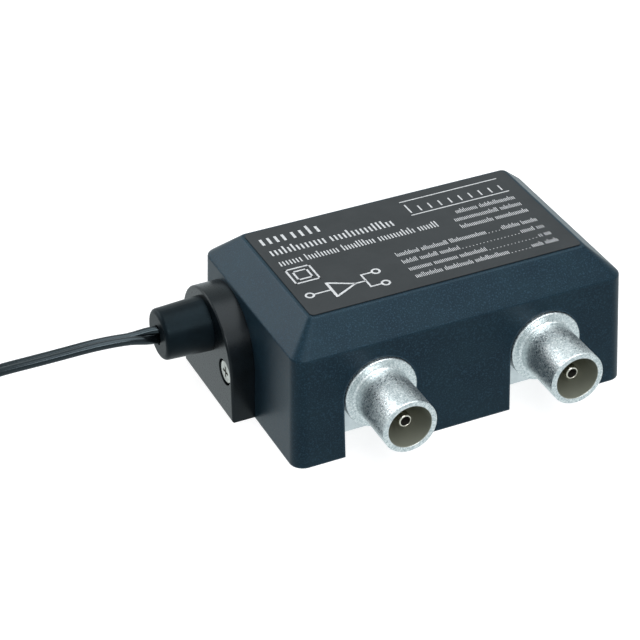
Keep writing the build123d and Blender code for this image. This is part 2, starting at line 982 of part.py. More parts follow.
with BuildPart() as chip:
    with BuildSketch(Plane.XY.offset(board_top)):
        with Locations((screen_x, screen_y)):
            Rectangle(chip_length, chip_width)
    extrude(amount=chip_height)
    chamfer(chip.edges().group_by(Axis.Z)[-1], length=chip_height / 4)
keep(chip.part, "amplifier_chip")

with BuildPart() as small_part:
    with BuildSketch(Plane.XY.offset(board_top)):
        Rectangle(small_length, small_width)
    extrude(amount=small_height)
with BuildPart() as chip_plan:
    with Locations((screen_x, screen_y)):
        with GridLocations(
            (screen_length - 2 * screen_wall) / 2, (screen_width - 2 * screen_wall) / 3, 2, 3
        ):
            add(small_part.part)
keep(chip_plan.part, "surface_capacitors")


# Inner leads from the bush to the board

lead_start_x = bush_wall_x + bush_collar_depth + lead_start_gap
leads = []
for side, landing in ((-1, lead_landing), (1, lead_landing + lead_pitch)):
    start = Vector(lead_start_x, bush_y, bush_z + side * core_spacing / 2)
    end = Vector(-board_half_x + landing, bush_y + lead_shift, board_top)
    knee = Vector(end.X, end.Y, start.Z)
    with BuildPart() as lead:
        with BuildLine() as path:
            FilletPolyline(start, knee, end, radius=lead_bend)
        with BuildSketch(Plane(start, z_dir=knee - start)):
            Circle(lead_wire_radius)
        sweep()
    leads.append(lead.part)
gather(leads, "inner_leads")


# Cord: the stretch from the bush to the coil, and the one from the coil to the plug

layer_rise = cord_width + coil_layer_gap
low_layer = tie_thickness + tie_gap + cord_width / 2
high_layer = low_layer + layer_rise
coil_back_y = coil_centre_y + coil_outer_radius
cord_start_x = bush_end_x + bush_mouth_depth
cord_route = [
    (cord_start_x, bush_y, bush_z),
    (cord_start_x - cord_straight, bush_y, bush_z),
    *cord_lift_route,
    (coil_centre_x + cord_width, coil_back_y, low_layer),
]
plug_route = [
    (coil_centre_x - cord_width, coil_back_y, high_layer),
    (coil_centre_x - cord_width - plug_lead_run, coil_back_y, high_layer),
    (plug_entry_x + plug_lead_run, plug_centre_y, plug_thickness / 2),
    (plug_entry_x, plug_centre_y, plug_thickness / 2),
]


def corner_radii(points):
    """The largest arc that each corner's two runs allow."""
    radii = []
    places = [Vector(point) for point in points]
    for before, corner, after in zip(places, places[1:], places[2:]):
        turn = radians((corner - before).get_angle(after - corner))
        shorter = min((corner - before).length, (after - corner).length)
        radii.append(run_share * shorter / tan(turn / 2))
    return radii


def flex(path_line, start, heading):
    """Twin flex swept along a path, its width upright at the start."""
    with BuildPart() as body:
        with BuildSketch(Plane(start, x_dir=(-heading.Y, heading.X, 0), z_dir=heading)):
            add(flex_section(0))
        sweep(path=path_line)
    expected = flex_section(0).area * path_line.length
    share = round(body.part.volume / expected, 4)
    print("flex length", round(path_line.length, 2), "volume share", share)
    return body.part


for name, route in (("power_cord", cord_route), ("plug_lead", plug_route)):
    radii = corner_radii(route)
    print(name, "radii", [round(radius, 1) for radius in radii])
    with BuildLine() as line:
        FilletPolyline(*route, radius=radii)
    heading = (Vector(route[1]) - Vector(route[0])).normalized()
    keep(flex(line.wire(), Vector(route[0]), heading), name)


# Coil: one unbroken flex, wound inward on the floor layer and out again above it

coil_turns = 2 * coil_turns_down + 1 / 2  # half a turn climbs from layer to layer


def coil_place(turns):
    """The coil's centre line after some turns, and its direction there."""
    angle = pi / 2 + 2 * pi * turns
    reversal = coil_turns - 2 * coil_turns_down
    climb = min(max((turns - coil_turns_down) / reversal, 0), 1)
    radius = coil_outer_radius - coil_pitch * min(turns, coil_turns - turns)
    radius -= coil_dip * sin(pi * climb) ** 2
    height = low_layer + layer_rise * climb * climb * (3 - 2 * climb)
    slope = 6 * climb * (1 - climb) * layer_rise / reversal
    drift = copysign(coil_pitch, turns - coil_turns / 2)
    if turns in (0, coil_turns / 2, coil_turns):
        drift = 0
    place = Vector(
        coil_centre_x + radius * cos(angle), coil_centre_y + radius * sin(angle), height
    )
    step = Vector(
        drift * cos(angle) - 2 * pi * radius * sin(angle),
        drift * sin(angle) + 2 * pi * radius * cos(angle),
        slope,
    )
    return place, step.normalized()


def biarc(first, first_way, last, last_way):
    """Two tangent arcs between two places with given directions."""
    chord = last - first
    ways = first_way + last_way
    spread = 2 * (1 - first_way.dot(last_way))
    along = chord.dot(ways)
    reach = (sqrt(along * along + spread * chord.dot(chord)) - along) / spread
    meet = (first + last + (first_way - last_way) * reach) / 2
    step = meet - first
    meet_way = step * 2 * first_way.dot(step) / step.dot(step) - first_way
    TangentArc(first, meet, tangent=first_way)
    TangentArc(meet, last, tangent=meet_way)


coil_steps = [turn / 2 for turn in range(int(2 * coil_turns_down) + 1)]
coil_steps += [coil_turns_down, coil_turns / 2]
coil_steps += [coil_turns - step for step in reversed(coil_steps[:-1])]
coil_lead = Vector(cord_width, 0, 0)
coil_start, coil_start_way = coil_place(0)
coil_end, coil_end_way = coil_place(coil_turns)
with BuildLine() as coil_line:
    Line(coil_start + coil_lead, coil_start)
    for before, after in zip(coil_steps, coil_steps[1:]):
        biarc(*coil_place(before), *coil_place(after))
    Line(coil_end, coil_end - coil_lead)
coil_path = coil_line.wire()
keep(flex(coil_path, coil_start + coil_lead, coil_start_way), "cord_coil")


def coil_gap():
    """The least clear gap between turns of the coil, measured on points of its path."""
    count = ceil(coil_turns * gap_steps)
    places = [coil_path.position_at(step / count) for step in range(count + 1)]
    least = coil_outer_radius
    for first in range(count):
        for second in range(first + ceil(gap_steps / 2), count + 1):
            step = places[second] - places[first]
            across = sqrt(step.X * step.X + step.Y * step.Y) - 2 * core_radius
            above = abs(step.Z) - cord_width
            least = min(least, max(across, above))
    return least


print("coil length", round(coil_path.length, 1), "least gap", round(coil_gap(), 3))

# Tie round the coil, on its far left side

tie_turn = 1 / 4
tie_outer = coil_outer_radius - coil_pitch * tie_turn + core_radius + tie_gap
tie_inner = coil_outer_radius - coil_pitch * coil_turns_down - core_radius - tie_gap
tie_height = layer_rise + cord_width + 2 * tie_gap
tie_middle = (low_layer + high_layer) / 2
with BuildPart() as tie:
    with BuildSketch(Plane.XZ.offset(-coil_centre_y - tie_width / 2)):
        with Locations((coil_centre_x - (tie_outer + tie_inner) / 2, tie_middle)):
            RectangleRounded(
                tie_outer - tie_inner + 2 * tie_thickness,
                tie_height + 2 * tie_thickness,
                tie_thickness,
            )
            Rectangle(tie_outer - tie_inner, tie_height, mode=Mode.SUBTRACT)
    extrude(amount=tie_width)
    with BuildSketch(Plane.XY.offset(tie_middle + tie_height / 2 + tie_thickness / 2)):
        with Locations((coil_centre_x - (tie_outer + tie_inner) / 2, coil_centre_y)):
            Circle(tie_tail_radius)
    extrude(amount=tie_tail_length)
keep(tie.part, "cord_tie")

# Mains plug, lying flat at the end of the cord

plug_body_start = plug_tail_length
plug_face = plug_tail_length + plug_length
plug_stations = [
    (plug_body_start, plug_grip_width, plug_grip_thickness),
    (plug_body_start + plug_shoulder_length, plug_grip_width, plug_grip_thickness),
    (plug_face - plug_nose_length, plug_width, plug_thickness),
    (plug_face, plug_nose_width, plug_thickness),
]


def plug_plane(distance, side=0):
    """Plane across the plug, a distance in from the cord's end."""
    place = (plug_entry_x - distance, plug_centre_y + side, plug_thickness / 2)
    return Plane(place, x_dir=(0, 1, 0), z_dir=(-1, 0, 0))


def plug_bars(radius, start, end, bore=0):
    """Two round bars side by side along the plug, solid or bored through."""
    pieces = []
    for side in (-pin_spacing / 2, pin_spacing / 2):
        with BuildPart() as bar:
            with BuildSketch(plug_plane(start, side)):
                Circle(radius)
                if bore:
                    Circle(bore, mode=Mode.SUBTRACT)
            extrude(amount=end - start)
        pieces.append(bar.part)
    return pieces


with BuildPart() as plug:
    for near, far in zip(plug_stations, plug_stations[1:]):
        for distance, width, thickness in (near, far):
            with BuildSketch(plug_plane(distance)):
                RectangleRounded(width, thickness, plug_edge_round)
        loft(ruled=True)
    # ribbed tail that eases the flex into the plug
    for distance, width in ((0, plug_tail_end_width), (plug_body_start, plug_tail_width)):
        with BuildSketch(plug_plane(distance)):
            RectangleRounded(width, width, plug_tail_round)
    loft(ruled=True)
    for side in (-pin_spacing / 2, pin_spacing / 2):
        with BuildSketch(plug_plane(plug_face, side)):
            Circle(pin_sleeve_radius + fit)
        extrude(amount=-pin_seat, mode=Mode.SUBTRACT)
keep(plug.part, "mains_plug")
sleeve_start = plug_face - pin_seat
sleeve_end = plug_face + pin_sleeve_length
pin_end = plug_face + pin_length
pin_core_radius = pin_sleeve_radius - pin_sleeve_wall
gather(
    plug_bars(pin_sleeve_radius, sleeve_start, sleeve_end, pin_core_radius + fit),
    "pin_sleeves",
)
pins = []
for core_bar, tip in zip(
    plug_bars(pin_core_radius, sleeve_start, sleeve_end + fit),
    plug_bars(pin_radius, sleeve_end, pin_end),
):
    with BuildPart() as pin:
        add(tip)
        fillet(pin.edges().sort_by(Axis.X)[0], radius=pin_radius / 2)
        add(core_bar)
    pins.append(pin.part)
gather(pins, "plug_pins")

# Move every piece to the part's frame and write it

move_x = -(rim_half_x + bush_end_x) / 2
move_y = (mouth_reach - plug_reach) / 2
print("moved by", round(move_x, 3), round(move_y, 3))
shift = Location((move_x, move_y, 0))
for piece in parts:
    if piece.children:
        placed = Compound(children=[child.moved(shift) for child in piece.children])
    else:
        placed = piece.moved(shift)
    placed.label = piece.label
    export_step(placed, f"parts/{placed.label}.step")
    print(placed.label, round(placed.volume, 1))
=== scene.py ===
from math import asin, cos, pi, radians, sin
from random import Random

import bpy
from mathutils import Matrix, Vector


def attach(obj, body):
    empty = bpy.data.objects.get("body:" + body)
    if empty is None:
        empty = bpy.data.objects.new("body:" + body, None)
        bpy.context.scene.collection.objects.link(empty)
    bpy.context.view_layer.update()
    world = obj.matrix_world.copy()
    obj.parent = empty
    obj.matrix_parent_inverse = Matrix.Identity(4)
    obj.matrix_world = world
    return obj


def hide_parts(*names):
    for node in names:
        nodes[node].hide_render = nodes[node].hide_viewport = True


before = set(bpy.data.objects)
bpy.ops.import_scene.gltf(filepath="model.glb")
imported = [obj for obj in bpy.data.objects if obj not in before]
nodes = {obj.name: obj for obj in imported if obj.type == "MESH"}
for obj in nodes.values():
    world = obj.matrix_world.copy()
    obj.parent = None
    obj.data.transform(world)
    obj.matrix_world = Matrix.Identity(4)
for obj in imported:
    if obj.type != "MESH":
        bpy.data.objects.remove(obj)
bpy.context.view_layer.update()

# Camera
# A long lens seen from high on the left front corner, as a product photographer sets it.
# Its place is in millimetres about the cover's middle, as the part's own lengths are,
# and is moved by the same step as the solids.
MM = 0.001
STEP = Vector((7.75, 1.95, 0.0))
UP = Vector((0, 0, 1))


def at(x, y, z):
    """A point of the part in metres, from millimetres about the cover's middle."""
    return (Vector((x, y, z)) + STEP) * MM


def show(name, data):
    """Put a mesh, curve, camera or lamp into the scene as an object."""
    shown = bpy.data.objects.new(name, data)
    bpy.context.scene.collection.objects.link(shown)
    return shown


turn, tilt, roll = radians(-24.296), radians(33.582), radians(-0.887)
back = Vector((sin(turn) * cos(tilt), -cos(turn) * cos(tilt), sin(tilt)))
level = UP.cross(back).normalized()
rise = back.cross(level)
right = level * cos(roll) + rise * sin(roll)
top = rise * cos(roll) - level * sin(roll)
lens = bpy.data.cameras.new("product_camera")
lens.lens, lens.sensor_width, lens.clip_start = 129.024, 36.0, 0.01
aimed = Matrix((right, top, back)).transposed().to_4x4()
aimed.translation = at(-186.414, -365.553, 283.598)
camera = show("product_camera", lens)
camera.matrix_world = aimed
bpy.context.scene.camera = camera
bpy.context.scene.view_settings.view_transform = "Standard"


# Twin flex
# Black two-core mains flex: two round lobes under 2 mm across joined by a thin web, moulded
# into the bush upright and twisting flat as it sags. Its spare length lies in a neat
# coil of two layers, held by a wire tie, and it ends in the plug.
def linear(colour):
    """Linear colour from an sRGB hex string."""
    parts = [int(colour[i:i + 2], 16) / 255 for i in (1, 3, 5)]
    return [c / 12.92 if c <= 0.04045 else ((c + 0.055) / 1.055) ** 2.4 for c in parts] + [1.0]


def add(tree, kind, settings=(), **sockets):
    """Add a node, set its options, and fill or link its inputs by name, or by number as s0."""
    made = tree.nodes.new(kind)
    for option, value in dict(settings).items():
        setattr(made, option, value)
    for name, value in sockets.items():
        socket = made.inputs[int(name[1:])] if name[1:].isdigit() else made.inputs[name.replace("_", " ")]
        if isinstance(value, bpy.types.NodeSocket):
            tree.links.new(value, socket)
        else:
            socket.default_value = value
    return made


def grain(tree, size, detail, stretch):
    """Noise on the piece's own coordinates; size is one grain in millimetres."""
    spot = add(tree, "ShaderNodeTexCoord")
    laid = add(tree, "ShaderNodeMapping", Vector=spot.outputs["Object"], Scale=stretch)
    return add(tree, "ShaderNodeTexNoise", Vector=laid.outputs["Vector"],
               Scale=1 / (size * MM), Detail=detail, Roughness=0.6).outputs["Fac"]


def lay_colour(tree, under, over, mask, start, full, most=1.0):
    """Lay a colour over another, or over a colour socket, as a mask goes from start to full."""
    share = add(tree, "ShaderNodeMapRange", Value=mask, From_Min=start, From_Max=full, To_Max=most)
    under = under if isinstance(under, bpy.types.NodeSocket) else linear(under)
    return add(tree, "ShaderNodeMix", {"data_type": "RGBA"}, s0=share.outputs["Result"], s6=under,
               s7=linear(over)).outputs[2]


# the levels of noise, or of a face's squareness to its rounded normal, between which each shows
cloud_from, cloud_full = 0.35, 0.65
grain_from, grain_full = 0.3, 0.7
speckle_from, speckle_full, speckle_share = 0.52, 0.66, 0.8
# the painted edge highlight: a paler colour laid on where a face turns from its rounded normal
highlight_from, highlight_full, highlight_share = 0.995, 0.93, 0.7
coat_rough = 0.3


def finish(name, dark, pale, rough, metal=0.0, mottle=4.0, tooth=0.3, depth=0.01,
           swing=0.06, ior=1.5, gloss=0.5, edge=0.0, stretch=(1, 1, 1), sheen="#ffffff",
           speckle=None, edge_highlight=None, coat=0.0):
    """A finish: mottled colour, uneven roughness and a bump, with sizes in millimetres.

    Only a finish with a rounded edge can have a highlight painted paler along its edges.
    """
    made = bpy.data.materials.new(name)
    made.use_nodes = True
    tree = made.node_tree
    shader = tree.nodes["Principled BSDF"]
    cloud = grain(tree, mottle, 3.0, stretch)
    fine = grain(tree, tooth, 2.0, stretch)
    colour = lay_colour(tree, dark, pale, cloud, cloud_from, cloud_full)
    if speckle:
        colour = lay_colour(tree, colour, speckle, fine, speckle_from, speckle_full, speckle_share)
    bump = add(tree, "ShaderNodeBump", Strength=1.0, Distance=depth * MM, Height=fine)
    if edge:
        rounded = add(tree, "ShaderNodeBevel", {"samples": 6}, Radius=edge * MM).outputs["Normal"]
        tree.links.new(rounded, bump.inputs["Normal"])
    # painted highlight: every rounded edge, hollow or ridge, gets the paler colour, however the light falls
    if edge_highlight:
        facing = add(tree, "ShaderNodeNewGeometry")
        square = add(tree, "ShaderNodeVectorMath", {"operation": "DOT_PRODUCT"}, s0=rounded,
                     s1=facing.outputs["Normal"])
        colour = lay_colour(tree, colour, edge_highlight, square.outputs["Value"], highlight_from, highlight_full, highlight_share)
    uneven = add(tree, "ShaderNodeMapRange", Value=fine, From_Min=grain_from, From_Max=grain_full,
                 To_Min=rough - swing, To_Max=rough + swing)
    tree.links.new(colour, shader.inputs["Base Color"])
    tree.links.new(uneven.outputs["Result"], shader.inputs["Roughness"])
    tree.links.new(bump.outputs["Normal"], shader.inputs["Normal"])
    for socket, value in (("Metallic", metal), ("IOR", ior), ("Specular IOR Level", gloss),
                          ("Specular Tint", linear(sheen)), ("Coat Weight", coat),
                          ("Coat Roughness", coat_rough)):
        shader.inputs[socket].default_value = value
    return made


def wear(made, *names):
    """Give the named solids a finish."""
    for name in names:
        for slot in nodes[name].material_slots:
            slot.material = made


def settled_mesh(source):
    """The plain mesh that an object comes to, modifiers and all; the object itself goes."""
    bpy.context.view_layer.update()
    settled = bpy.context.evaluated_depsgraph_get()
    mesh = bpy.data.meshes.new_from_object(source.evaluated_get(settled))
    bpy.data.objects.remove(source)
    return mesh


# the route in millimetres: out of the bush, down to the table, round the coil and into the
# plug; the coil winds inwards below and outwards above, and draws in where it climbs
coil_x, coil_y, coil_radius, coil_pitch, coil_dip = -136.0, -8.0, 29.0, 3.0, 1.6
coil_turns, turns_down, low_layer, layer_rise = 7.0, 3.25, 3.2, 4.8
points_a_turn = 16
flex_exit = (-52.0, 10.2, 16.9)
flex_points = [
    flex_exit, (-57.0, 10.2, 17.3), (-66.0, 10.9, 18.0), (-77.0, 12.8, 16.5),
    (-90.0, 15.8, 14.5), (-103.0, 18.6, 10.5), (-115.0, 20.4, 5.6), (-125.0, 21.0, 3.3),
]
for step in range(int(coil_turns * points_a_turn) + 1):
    turns = step / points_a_turn
    angle = pi / 2 + 2 * pi * turns
    climb = min(max((turns - turns_down) / (coil_turns - 2 * turns_down), 0), 1)
    radius = coil_radius - coil_pitch * min(turns, coil_turns - turns)
    radius -= coil_dip * sin(pi * climb) ** 2
    if 0 < turns < coil_turns:
        radius /= cos(pi / points_a_turn)
    height = low_layer + layer_rise * climb * climb * (3 - 2 * climb)
    flex_points.append((coil_x + radius * cos(angle), coil_y + radius * sin(angle), height))
flex_points += [(-147.0, 21.0, 8.0), (-157.0, 18.0, 6.85), (-164.0, 18.0, 6.85)]

guide = bpy.data.curves.new("flex_guide", "CURVE")
guide.dimensions = "3D"
line = guide.splines.new("NURBS")
line.points.add(len(flex_points) - 1)
for point, place in zip(line.points, flex_points):
    point.co = (*at(*place), 1.0)
line.order_u = 3
line.use_endpoint_u = True
line.resolution_u = 8
flex_path = [vertex.co.copy() for vertex in settled_mesh(show("flex_guide", guide)).vertices]

# the section in millimetres: a lobe above the middle and one below, with the web between
lobe_radius, lobe_reach, web_half, lobe_steps = 0.92, 0.96, 0.18, 19
web_angle = asin(web_half / lobe_radius)
flex_outline = []
for side in (1, -1):
    for i in range(lobe_steps):
        a = -pi / 2 + web_angle + (2 * pi - 2 * web_angle) * i / (lobe_steps - 1)
        flex_outline.append((side * lobe_radius * cos(a), side * (lobe_reach + lobe_radius * sin(a))))

# its twist from upright to flat and back, and the lengths of flex over which it turns; an
# edge over the groove angle isn't smoothed, so that the groove between the lobes stays dark
flat_turn, groove_angle = radians(100), radians(40)
twist_start, twist_end, untwist_start, untwist_end = -1.0 * MM, 9.0 * MM, 46.0 * MM, 74.0 * MM


def ease(value, start, end):
    """A smooth step from 0 to 1 between two values."""
    share = min(max((value - start) / (end - start), 0), 1)
    return share * share * (3 - 2 * share)


rings, skin = [], []
count, last = len(flex_outline), len(flex_path) - 1
gone = 0.0
for i, place in enumerate(flex_path):
    gone += (place - flex_path[max(i - 1, 0)]).length
    ahead = (flex_path[min(i + 1, last)] - flex_path[max(i - 1, 0)]).normalized()
    twist = flat_turn * ease(gone, twist_start, twist_end) * (1 - ease(gone, untwist_start, untwist_end))
    level_way = UP.cross(ahead).normalized()
    steep_way = ahead.cross(level_way)
    across = level_way * cos(twist) + steep_way * sin(twist)
    upward = steep_way * cos(twist) - level_way * sin(twist)
    rings += [place + (across * a + upward * b) * MM for a, b in flex_outline]
for i in range(last):
    for j in range(count):
        k = (j + 1) % count
        skin.append((i * count + j, i * count + k, (i + 1) * count + k, (i + 1) * count + j))
skin.append(tuple(reversed(range(count))))
skin.append(tuple(range(last * count, last * count + count)))
flex_mesh = bpy.data.meshes.new("twin_flex")
flex_mesh.from_pydata(rings, [], skin)
flex_mesh.validate()
flex_mesh.shade_smooth()
flex_mesh.set_sharp_from_angle(angle=groove_angle)
twin_flex = show("twin_flex", flex_mesh)

# extruded PVC: smooth, so each lobe carries one long highlight, with faint drawing marks
extruded_pvc = finish("extruded_pvc", "#030506", "#07090b", 0.22, mottle=3.0, tooth=0.5, depth=0.004,
                      swing=0.05, ior=1.53, gloss=0.57, sheen="#cfe6f2")
flex_mesh.materials.append(extruded_pvc)
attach(twin_flex, "root")
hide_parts("power_cord", "cord_coil", "plug_lead")

# Top cover
# One blue-black moulding with leaning walls and a bevel all round. The tool's fine
# spark texture shows as pale grain and a dull sheen, and a paler highlight is painted along the edges.

# injection-moulded ABS off a spark-eroded tool: grains of about 0.1 mm break the shine
# into a dull pale speckle, and they are drawn at 0.3 mm so that they show; the pale
# blue-grey along every edge is a painted highlight
spark_textured_abs = finish("spark_textured_abs", "#10202a", "#152730", 0.36, mottle=9.0, tooth=0.30,
                            depth=0.022, swing=0.08, ior=1.54, gloss=0.16, edge=0.6, sheen="#a6d4f2",
                            speckle="#243b4a", edge_highlight="#4c6473", coat=0.10)
wear(spark_textured_abs, "top_cover")

# Label
# A dark grey satin film laid on the flat top, with plain pale print: rows of strokes,
# dotted leaders, a nested square, and a small diagram of one input and two outputs.

# satin polyester film: an even, soft shine with hardly a grain in it
satin_polyester = finish("satin_polyester", "#2a2d2f", "#2f3234", 0.42, mottle=6.0, tooth=0.12,
                         depth=0.002, swing=0.04, ior=1.64, gloss=0.14)
wear(satin_polyester, "top_label")

# millimetres, apart from the steps of a ring and the shares that place and size strokes
print_height = 31.404
rule_line, square_line, lead_line = 0.32, 0.42, 0.4
ring_outer, ring_inner, ring_steps = 1.05, 0.6, 28
stroke_spacing, low_strokes, group_gap, shortest_group = 2.3, 0.7, 0.45, 0.6
print_corners, print_faces, stroke_rows = [], [], []


def patch(corners):
    """One flat patch of print, its corners counter-clockwise in millimetres."""
    start = len(print_corners)
    print_corners.extend(at(x, y, print_height) for x, y in corners)
    print_faces.append(tuple(range(start, start + len(corners))))


def bar(x0, y0, x1, y1):
    """An upright rectangle of print."""
    patch([(x0, y0), (x1, y0), (x1, y1), (x0, y1)])


def ring(x, y):
    """A ring of print, where a lead of the diagram ends."""
    for i in range(ring_steps):
        a, b = 2 * pi * i / ring_steps, 2 * pi * (i + 1) / ring_steps
        patch([(x + reach * cos(way), y + reach * sin(way))
               for reach, way in ((ring_inner, a), (ring_outer, a), (ring_outer, b), (ring_inner, b))])


def stroke_row(x0, x1, base, width, tall, pitch, low_share=1.0):
    """A row of like strokes; a low share under one leaves some of them shorter."""
    stroke_rows.append((x0 + width / 2, x1 - width / 2, base, width, tall, pitch, low_share))


def stroke_line(x0, x1, base, tall, weight, groups, seed):
    """A line of print: a few rows of strokes with gaps between them."""
    dice = Random(seed)
    shares = [shortest_group + dice.random() for _ in range(groups)]
    gap = tall * group_gap
    room = x1 - x0 - gap * (groups - 1)
    x = x0
    for share in shares:
        width = room * share / sum(shares)
        stroke_row(x, x + width, base, weight, tall, weight * stroke_spacing, low_strokes)
        x += width + gap


# three tall lines, three short lines at the right, and four lines with dotted leaders
stroke_line(-29.1, -15.8, 11.3, 3.5, 0.62, 2, 11)
stroke_line(-28.9, -0.7, 6.6, 2.9, 0.42, 2, 12)
stroke_line(-28.9, 7.6, 2.2, 2.4, 0.30, 5, 13)
for x0, base, seed in ((13.5, 5.2, 21), (11.7, 2.3, 22), (11.7, -0.7, 23)):
    stroke_line(x0, 27.6, base, 1.65, 0.17, 2, seed)
for i, (dots_start, dots_end) in enumerate(((15.2, 18.4), (7.4, 21.4), (12.2, 24.0), (15.8, 20.7))):
    base = -4.9 - 3.0 * i
    stroke_line(-5.7, dots_start, base, 1.6, 0.16, 3, 31 + i)
    stroke_line(dots_end + 0.7, 27.4, base, 1.6, 0.16, 2, 41 + i)
    stroke_row(dots_start + 0.5, dots_end, base, 0.22, 0.22, 0.8)
# a scale of strokes between two rules, and the square nested in a square
stroke_row(4.7, 27.0, 9.7, 0.34, 3.6, 2.2, 0.6)
for y in (14.45, 8.6):
    bar(4.3, y, 28.0, y + rule_line)
for x0, x1, y0, y1 in ((-29.1, -23.4, -5.4, 0.6), (-28.0, -24.5, -4.2, -0.6)):
    for edges in ((x0, y0, x1, y0 + square_line), (x0, y1 - square_line, x1, y1),
                  (x0, y0, x0 + square_line, y1), (x1 - square_line, y0, x1, y1)):
        bar(*edges)
# the diagram: a ringed input, a hollow triangle, and a fork to two ringed outputs
ring(-28.2, -10.3)
bar(-27.15, -10.5, -23.6, -10.1)
for corners in (((-23.6, -13.2), (-23.0, -13.2), (-23.0, -7.4), (-23.6, -7.4)),
                ((-23.0, -13.2), (-18.0, -10.55), (-18.0, -10.05), (-23.0, -12.6)),
                ((-23.0, -8.0), (-18.0, -10.55), (-18.0, -10.05), (-23.0, -7.4))):
    patch(corners)
bar(-18.0, -10.5, -15.6, -10.1)
bar(-15.8, -12.9, -15.4, -7.7)
for y in (-12.9, -8.1):
    bar(-15.4, y, -13.3, y + lead_line)
    ring(-12.25, y + lead_line / 2)
print_mesh = bpy.data.meshes.new("label_print")
print_mesh.from_pydata(print_corners, [], print_faces)
label_print = show("label_print", print_mesh)

# screen-printed white ink: matt, and thin enough to let a little of the film show
screen_ink = finish("screen_ink", "#b9bcbe", "#d3d5d7", 0.5, mottle=0.7, tooth=0.15, depth=0.002)
print_mesh.materials.append(screen_ink)


def grow(name, base_mesh, tree, values):
    """Run a node tree on a base mesh and keep the result as a plain mesh."""
    seedling = show(name + "_rows", base_mesh)
    growth = seedling.modifiers.new("growth", "NODES")
    growth.node_group = tree
    for item in tree.interface.items_tree:
        if item.in_out == "INPUT" and item.name in values:
            growth[item.identifier] = values[item.name]
    plain = settled_mesh(seedling)
    plain.name = name
    return show(name, plain)


def node_tree(name, inputs):
    """An empty Geometry Nodes tree with its named inputs and one geometry each way."""
    tree = bpy.data.node_groups.new(name, "GeometryNodeTree")
    tree.interface.new_socket("Geometry", in_out="INPUT", socket_type="NodeSocketGeometry")
    tree.interface.new_socket("Geometry", in_out="OUTPUT", socket_type="NodeSocketGeometry")
    for label, kind in inputs.items():
        tree.interface.new_socket(label, in_out="INPUT", socket_type="NodeSocket" + kind)
    return tree, add(tree, "NodeGroupInput").outputs


row_mesh = bpy.data.meshes.new("stroke_rows")
row_mesh.from_pydata([at(x, row[2], print_height) for row in stroke_rows for x in row[:2]],
                     [(2 * i, 2 * i + 1) for i in range(len(stroke_rows))], [])
row_values = {
    "stroke_size": ("FLOAT_VECTOR", "vector", [(row[3] * MM, row[4] * MM, 1.0) for row in stroke_rows]),
    "stroke_pitch": ("FLOAT", "value", [row[5] * MM for row in stroke_rows]),
    "low_share": ("FLOAT", "value", [row[6] for row in stroke_rows]),
}
for name, (kind, field, values) in row_values.items():
    for i, point in enumerate(row_mesh.attributes.new(name, kind, "POINT").data):
        setattr(point, field, values[i // 2])
row_mesh.materials.append(screen_ink)
strokes_tree, given = node_tree("print_strokes", {"Ink": "Material", "Seed": "Int", "Tall share": "Float"})
rows = add(strokes_tree, "GeometryNodeMeshToCurve", Mesh=given["Geometry"])
read = {name: add(strokes_tree, "GeometryNodeInputNamedAttribute", {"data_type": kind}, Name=name).outputs[0]
        for name, (kind, _, _) in row_values.items()}
marks = add(strokes_tree, "GeometryNodeResampleCurve", {"mode": "LENGTH"}, Curve=rows.outputs[0],
            Length=read["stroke_pitch"])
is_tall = add(strokes_tree, "FunctionNodeRandomValue", {"data_type": "BOOLEAN"},
              Probability=given["Tall share"], Seed=given["Seed"])
share_of = add(strokes_tree, "GeometryNodeSwitch", {"input_type": "FLOAT"}, Switch=is_tall.outputs[3],
               s1=read["low_share"], s2=1.0)
shrink = add(strokes_tree, "ShaderNodeCombineXYZ", X=1.0, Y=share_of.outputs[0], Z=1.0)
sized = add(strokes_tree, "ShaderNodeVectorMath", {"operation": "MULTIPLY"}, s0=read["stroke_size"],
            s1=shrink.outputs[0])
tile = add(strokes_tree, "GeometryNodeMeshGrid", Size_X=1.0, Size_Y=1.0, Vertices_X=2, Vertices_Y=2)
raised = add(strokes_tree, "GeometryNodeTransform", Geometry=tile.outputs["Mesh"], Translation=(0, 0.5, 0))
laid = add(strokes_tree, "GeometryNodeInstanceOnPoints", Points=marks.outputs[0], Instance=raised.outputs[0],
           Scale=sized.outputs[0])
real = add(strokes_tree, "GeometryNodeRealizeInstances", Geometry=laid.outputs[0])
inked = add(strokes_tree, "GeometryNodeSetMaterial", Geometry=real.outputs[0], Material=given["Ink"])
add(strokes_tree, "NodeGroupOutput", Geometry=inked.outputs[0])
label_strokes = grow("label_strokes", row_mesh, strokes_tree, {
    "Ink": screen_ink, "Seed": 7, "Tall share": 0.24})
for printed in (label_print, label_strokes):
    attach(printed, "root")

# Chassis frame and base lid
# A folded frame of zinc-plated sheet that carries the connectors, and the plate that
# closes it from below. The frame shows as a bright band in the cover's openings.

# rolled steel under bright zinc: a soft, faintly blue metal shine with few marks
zinc_plated_sheet = finish("zinc_plated_sheet", "#c2c8cb", "#dde2e4", 0.34, metal=1.0, mottle=5.0,
                           tooth=0.25, depth=0.006, swing=0.08)
wear(zinc_plated_sheet, "chassis_frame", "base_lid")

# Screws and nuts
# Zinc-plated pan-head screws with cross recesses, and the hexagon nuts on the necks.

# cold-headed steel under zinc: warm grey, patchy, with soft bright rims
zinc_plated_screw = finish("zinc_plated_screw", "#a5a49e", "#d2d1cb", 0.28, metal=1.0, mottle=1.2,
                           tooth=0.12, depth=0.006, swing=0.08, edge=0.12)
wear(zinc_plated_screw, "case_screws", "entry_screws", "board_screws", "neck_nuts")

# Output sockets and input plug
# Die-cast zinc bodies under bright nickel, with a fine orange-peel skin that breaks
# highlights up into speckles. The bores were drilled, so they are smooth, and little
# plating reached them, which leaves them dull; their darker olive-grey is painted shade.

# nickel on a worn casting tool's skin: bright, with pits of about 0.15 mm drawn at over
# twice that so that they show
nickel_plated_plug = finish("nickel_plated_plug", "#b9bdbe", "#e2e4e4", 0.26, metal=1.0, mottle=0.8,
                            tooth=0.36, depth=0.045, swing=0.10, edge=0.15)
wear(nickel_plated_plug, "input_plug")
